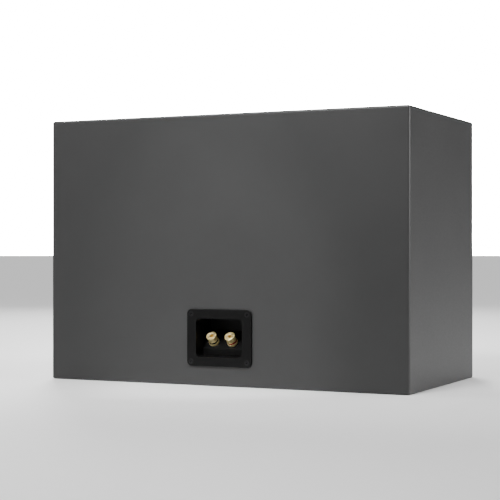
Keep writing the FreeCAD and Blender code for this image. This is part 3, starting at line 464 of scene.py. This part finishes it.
def grille_cloth(material):
    """Cloth over the frame. From the middle outwards it runs flat to the frame's rounded edge, down
    its side and a little way in behind. Each ring of points is the frame's outline, shrunk in
    front, and the cloth's own flat place is its UV map."""
    low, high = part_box("grille_frame")
    front, back = low.y, high.y
    centre = ((low.x + high.x) / 2, (low.z + high.z) / 2)
    half = np.array([(high.x - low.x) / 2, (high.z - low.z) / 2])
    corner, edge, over, turn = 2.5 * MM, 2.4 * MM, 0.12 * MM, 7.0 * MM

    bends = np.radians(np.linspace(0, 90, 7))
    angle = np.concatenate([np.radians(90 * k) + bends for k in range(4)])
    signs = np.repeat([(1, 1), (-1, 1), (-1, -1), (1, -1)], len(bends), axis=0)
    outline = signs * (half - corner) + corner * np.stack([np.cos(angle), np.sin(angle)], axis=-1)
    outline = densify(outline, 4.0 * MM)
    away = outline - np.clip(outline, -(half - corner), half - corner)
    length = np.hypot(away[:, 0], away[:, 1])
    normal = away / np.maximum(length, 1e-9)[:, None]

    rings, flat_places = [], []
    inner = outline - normal * edge
    for share in np.linspace(0, 1, 40):
        rings.append(np.concatenate([inner * share, np.full((len(inner), 1), front - over)], axis=1))
        flat_places.append(inner * share)
    for bend in np.radians(np.linspace(0, 90, 9))[1:]:
        out = inner + normal * (edge + over) * math.sin(bend)
        depth = front + edge - (edge + over) * math.cos(bend)
        rings.append(np.concatenate([out, np.full((len(out), 1), depth)], axis=1))
        flat_places.append(inner + normal * edge * bend)
    flat_edge = flat_places[-1]
    drop = back + over - (front + edge)
    for share in np.linspace(0, 1, 7)[1:]:
        ring_points = outline + normal * over
        depth = front + edge + drop * share
        rings.append(np.concatenate([ring_points, np.full((len(outline), 1), depth)], axis=1))
        flat_places.append(flat_edge + normal * drop * share)
    flat_back = flat_places[-1]
    for share in np.linspace(0, 1, 4)[1:]:
        ring_points = outline + normal * (over - turn * share)
        rings.append(np.concatenate([ring_points, np.full((len(outline), 1), back + over)], axis=1))
        flat_places.append(flat_back + normal * turn * share)
    grid = np.array(rings)
    points = np.stack([centre[0] + grid[..., 0], grid[..., 2], centre[1] + grid[..., 1]], axis=-1)
    piece = surface("grille_cloth_cover", points, material, "grille",
                    closed=False, crease=180.0, uv=np.array(flat_places))
    thick = piece.modifiers.new("thickness", "SOLIDIFY")
    thick.thickness = 0.35 * MM
    thick.offset = 1.0
    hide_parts("grille_cloth")


def densify(outline, spacing):
    """Closed outline with extra points, so that no step is longer than spacing."""
    ahead = np.roll(outline, -1, axis=0)
    points = []
    for start, end in zip(outline, ahead):
        count = max(1, int(math.ceil(np.hypot(*(end - start)) / spacing)))
        points.append(line(start, end, count + 1)[:-1])
    return np.concatenate(points)


def power(value, share):
    """Power of a value's size, with its sign kept."""
    return np.sign(value) * np.abs(value) ** share


def wadding_pads(material):
    """Soft pads: a rounded box, x = cos(v)^0.45 cos(u)^0.35, y = cos(v)^0.45 sin(u)^0.35 and
    z = sin(v)^0.7, pushed in and out by a sum of sines, as loosely laid wadding is."""
    cad = nodes["wadding"]
    co = np.array([v.co for v in cad.data.vertices])
    points_list = []
    for sign in (-1, 1):
        own = co[np.sign(co[:, 0]) == sign]
        low, high = own.min(axis=0) + 1.5 * MM, own.max(axis=0) - 1.5 * MM
        high[2] += 1.4 * MM
        u = np.linspace(0, 2 * math.pi, 120, endpoint=False)
        v = np.linspace(-math.pi / 2, math.pi / 2, 60)[:, None]
        x = power(np.cos(v), 0.45) * power(np.cos(u), 0.35)
        y = power(np.cos(v), 0.45) * power(np.sin(u), 0.35)
        z = power(np.sin(v), 0.7) * np.ones_like(u)
        lumps = 0.05 * (np.sin(7 * x + 3 * y) + np.sin(9 * y - 4 * z + 2) + np.sin(5 * z + 8 * x + 1)) / 3
        size = 1 - 0.05 + lumps
        unit = np.stack([x * size, y * size, z * size], axis=-1)
        points_list.append((low + high) / 2 + unit * (high - low) / 2)
    for name, points in zip(("wadding_pad_left", "wadding_pad_right"), points_list):
        piece = surface(name, points, material, "cabinet", closed=False, crease=180.0)
        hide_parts("wadding")


# Binding posts

def post_frame(colour):
    """Foot of a post on the ramp, and three directions: across, up the ramp, and along the post."""
    mount = next(m for m in frame["record"]["mounts"] if m["name"] == "banana_" + colour)
    along = np.array(mount["axis"], float)
    foot = np.array(mount["pos_m"], float) - along * 3.65 * MM
    across = np.array([1.0, 0.0, 0.0])
    return foot, across, np.cross(along, across), along


def round_post(profile, colour, steps=144, ripple=None):
    """Profile of (radius, height) in millimetres carried round a post's axis. What
    ripple(radius, height, angle) gives is added to the radius."""
    foot, across, up, along = post_frame(colour)
    angle = np.linspace(0, 2 * math.pi, steps, endpoint=False)
    radius, height = profile[:, 0, None], profile[:, 1, None] * np.ones_like(angle)
    if ripple is not None:
        radius = radius + ripple(radius, height, angle)
    radius, height = radius * MM * np.ones_like(angle), height * MM
    return (foot + radius[..., None] * (np.cos(angle)[:, None] * across + np.sin(angle)[:, None] * up)
            + height[..., None] * along)


def post_nut(colour, material):
    """Gold nut: a bead at its foot, a fluted barrel, and a wider rim with a dished end. The flutes
    are a cosine of 24 waves round the barrel, fading out at both ends."""
    node = "post_nut_" + colour
    bore = 2.97
    profile = np.concatenate([
        line((bore, 9.4), (bore, 4.02), 6), [(4.25, 4.02)],
        arc((4.25, 4.37), 0.33, -80, 80, 8), line((4.35, 4.85), (4.42, 8.1), 14),
        line((4.5, 8.3), (4.6, 8.45), 3), arc((4.62, 8.78), 0.28, -60, 0, 5), line((4.9, 9.1), (4.9, 9.6), 3),
        arc((4.58, 9.66), 0.32, 0, 90, 7), line((4.3, 9.97), (4.0, 9.9), 3),
        line((3.75, 9.7), (3.5, 9.5), 3)])

    def flutes(radius, height, angle):
        fade = np.clip((height - 4.9) / 0.4, 0, 1) * np.clip((8.2 - height) / 0.4, 0, 1)
        return 0.09 * np.cos(24 * angle) * fade * (radius > 4)

    piece = surface("post_nut_%s_turned" % colour, round_post(profile, colour, 192, flutes), material,
                    node, crease=40.0)
    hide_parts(node)


def post_stud(colour, material):
    """Gold stud: collar, threaded shank with a pitch of 0.8 mm, and a 4 mm socket in its end."""
    node = "post_stud_" + colour
    profile = np.concatenate([
        line((0.0, -2.2), (2.03, -2.2), 3), line((2.03, -1.0), (2.03, 9.3), 8),
        line((2.1, 9.55), (2.25, 9.72), 3),
        line((2.4, 9.8), (2.6, 9.78), 3), line((2.8, 9.55), (2.8, 2.5), 72), line((2.9, 2.42), (4.7, 2.4), 5),
        arc((4.72, 2.12), 0.28, 90, 0, 6), line((5.0, 1.8), (5.0, 0.5), 4),
        arc((4.75, 0.27), 0.25, 0, -90, 5),
        line((4.5, 0.01), (2.9, 0.01), 4), line((2.9, -0.3), (2.9, -13.6), 20),
        line((2.7, -14.0), (0.0, -14.0), 5)])

    def thread(radius, height, angle):
        on_shank = (np.abs(radius - 2.8) < 0.01) & (height > 2.5) & (height < 9.6)
        return np.where(on_shank, 0.07 * np.cos(2 * math.pi * height / 0.8 - angle), 0.0)

    piece = surface("post_stud_%s_turned" % colour, round_post(profile, colour, 96, thread), material,
                    "cabinet", closed=False, crease=40.0)
    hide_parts(node)


# Stage

def studio():
    """Pale floor, pale surroundings and soft lights."""
    floor_finish, tree, shade, at = finish_of("painted_floor", "#f2f2f2", 0.6)
    grain(tree, shade, at, 30.0, 0.02)
    angle = np.linspace(0, 2 * math.pi, 64, endpoint=False)
    radius = np.array([0.0, 0.5, 2.0, 30.0])[:, None]
    points = np.stack([radius * np.cos(angle), radius * np.sin(angle), 0 * radius * angle], axis=-1)
    floor = surface("studio_floor", points, floor_finish, closed=False, crease=180.0)

    world = bpy.data.worlds.new("studio")
    bpy.context.scene.world = world
    world.use_nodes = True
    tree = world.node_tree
    tree.nodes.clear()
    where = add(tree, "TexCoord")
    parts = add(tree, "SeparateXYZ", {"Vector": where.outputs["Generated"]})
    dome = add(tree, "MapRange", {"Value": parts.outputs[2], "From Min": 0.4, "From Max": 0.95,
                                  "To Min": 0.08, "To Max": 1.7}, interpolation_type="SMOOTHSTEP")
    room = add(tree, "Background", {"Color": linear("#ffffff"), "Strength": dome.outputs[0]})
    backdrop = add(tree, "Background", {"Color": linear("#ffffff"), "Strength": 30.0})
    path = add(tree, "LightPath")
    both = add(tree, "MixShader", {0: path.outputs["Is Camera Ray"], 1: room.outputs[0],
                                   2: backdrop.outputs[0]})
    add(tree, "OutputWorld", {"Surface": both.outputs[0]})

    for name, place, aim, size, power, spread in (
            ("key", (0.12, 1.0, 1.1), (0.04, 0.1, 0.4), (0.5, 0.5), 2.35, 42),
            ("side", (-1.5, -0.2, 0.55), (-0.18, 0, 0.25), (0.6, 0.6), 2.3, 50),
            ("front", (0.9, -1.5, 1.1), (0, -0.1, 0.2), (0.9, 0.9), 15, 110),
            ("far_side", (1.6, 0.2, 0.9), (0.18, 0, 0.12), (0.8, 0.8), 11, 150)):
        data = bpy.data.lights.new(name, "AREA")
        data.shape = "RECTANGLE"
        data.size, data.size_y = size
        data.energy = power
        data.spread = math.radians(spread)
        light = bpy.data.objects.new(name, data)
        light.location = place
        light.rotation_euler = (Vector(aim) - Vector(place)).to_track_quat("-Z", "Y").to_euler()
        bpy.context.scene.collection.objects.link(light)

    data = bpy.data.lights.new("terminal_snoot", "SPOT")
    data.energy = 680
    data.shadow_soft_size = 0.12
    data.spot_size = math.radians(3.4)
    data.spot_blend = 0.5
    snoot = bpy.data.objects.new("terminal_snoot", data)
    snoot.location = (0.05, 1.0, 1.0)
    aim = Vector((0.0045, 0.088, 0.047)) - snoot.location
    snoot.rotation_euler = aim.to_track_quat("-Z", "Y").to_euler()
    bpy.context.scene.collection.objects.link(snoot)


def camera():
    """Camera level with the box's middle, behind it and a little to its -X side."""
    data = bpy.data.cameras.new("camera")
    data.lens = 100.15
    data.sensor_width = 36.0
    view = bpy.data.objects.new("camera", data)
    view.location = (-0.579, BACK + 1.134, (BOX_LOW.z + BOX_HIGH.z) / 2)
    view.rotation_euler = Vector((0.4352, -0.9003, 0.0)).to_track_quat("-Z", "Y").to_euler()
    bpy.context.scene.collection.objects.link(view)
    bpy.context.scene.camera = view


def main():
    """Build everything around the frame."""
    camera()
    studio()
    paint_cad_nodes()
    finish = {m.name: m for m in bpy.data.materials}
    for side in ("left", "right"):
        woofer_surround(side, finish["butyl_rubber"])
        woofer_spider(side, finish["stiffened_cotton"])
        woofer_cone(side, finish["filled_polypropylene"])
        woofer_dust_cap(side, finish["filled_polypropylene"])
    tweeter_roll(finish["coated_silk"])
    grille_cloth(finish["knitted_cloth"])
    wadding_pads(finish["polyester_wadding"])
    for colour in ("red", "black"):
        post_nut(colour, finish["gold_plated_brass"])
        post_stud(colour, finish["gold_plated_brass"])


main()
